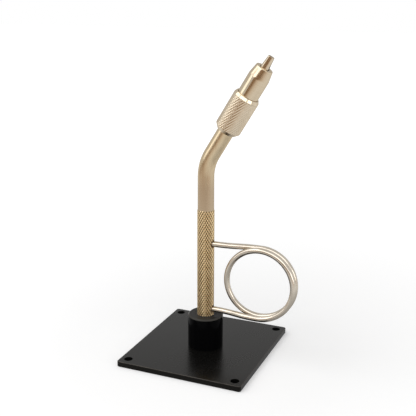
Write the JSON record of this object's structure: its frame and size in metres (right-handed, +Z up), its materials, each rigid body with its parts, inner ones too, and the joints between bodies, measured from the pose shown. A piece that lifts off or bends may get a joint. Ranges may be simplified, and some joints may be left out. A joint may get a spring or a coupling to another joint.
{
  "type": "fly tying vise",
  "caption": "Bent-stem hand vise on a pedestal base: knurled handle with wire finger ring, and a knurled sleeve that draws a tapered nose over split jaws to grip a hook.",
  "frame": {"origin": "middle of the base plate's underside, on the stem's axis", "axes": "+Z up along the stem, +X the way the head leans and the finger ring points, Y across the jaws"},
  "size_m": [0.0939, 0.083, 0.1764],
  "materials": {
    "black_plate": "semi-gloss black enamel",
    "black_socket": "glossy black anodised",
    "screw_steel": "blackened",
    "liner": "moulded black",
    "plated_brass": "nickel-plated, polished",
    "ring_wire": "nickel-plated wire, bright",
    "jaw_steel": "hardened and polished",
    "spring_steel": "bright drawn"
  },
  "bodies": {
    "stand": {"base_plate": "black_plate", "pedestal_socket": "black_socket", "socket_screw": "screw_steel"},
    "bush": {"socket_bush": "liner"},
    "stem": {"stem": "plated_brass", "finger_ring": "ring_wire", "jaw_pin": "spring_steel", "jaw_spring": "spring_steel"},
    "nose": {"closing_nose": "plated_brass", "snap_ring": "spring_steel"},
    "sleeve": {"knurled_sleeve": "plated_brass"},
    "front_jaw": {"jaw_front": "jaw_steel"},
    "back_jaw": {"jaw_back": "jaw_steel"}
  },
  "joints": [
    {"name": "stem_swivel", "type": "hinge", "parent": "stand", "child": "bush", "pos_m": [0, 0, 0.01], "axis": [0, 0, 1], "continuous": true},
    {"name": "stem_lift", "type": "slide", "parent": "bush", "child": "stem", "axis": [0, 0, 1], "range_m": [0, 0.014]},
    {"name": "nose_slide", "type": "slide", "parent": "stem", "child": "nose", "axis": [0.521, 0, 0.8536], "range_m": [-0.001, 0.002]},
    {"name": "sleeve_turn", "type": "hinge", "parent": "nose", "child": "sleeve", "pos_m": [0.01824, 0, 0.14442], "axis": [0.521, 0, 0.8536], "range_deg": [-362, 722]},
    {"name": "jaw_front_open", "type": "hinge", "parent": "stem", "child": "front_jaw", "pos_m": [0.02188, 0, 0.1504], "axis": [0.8536, 0, -0.521], "range_deg": [-0.38, 0.74], "deforming": ["jaw_spring"]},
    {"name": "jaw_back_open", "type": "hinge", "parent": "stem", "child": "back_jaw", "pos_m": [0.02188, 0, 0.1504], "axis": [-0.8536, 0, 0.521], "range_deg": [-0.38, 0.74], "deforming": ["jaw_spring"]}
  ],
  "couplings": [
    {"joint": "sleeve_turn", "follows": "nose_slide", "rad_per_m": 6283.2},
    {"joint": "jaw_front_open", "follows": "nose_slide", "rad_per_m": 6.4384},
    {"joint": "jaw_back_open", "follows": "nose_slide", "rad_per_m": 6.4384}
  ]
}
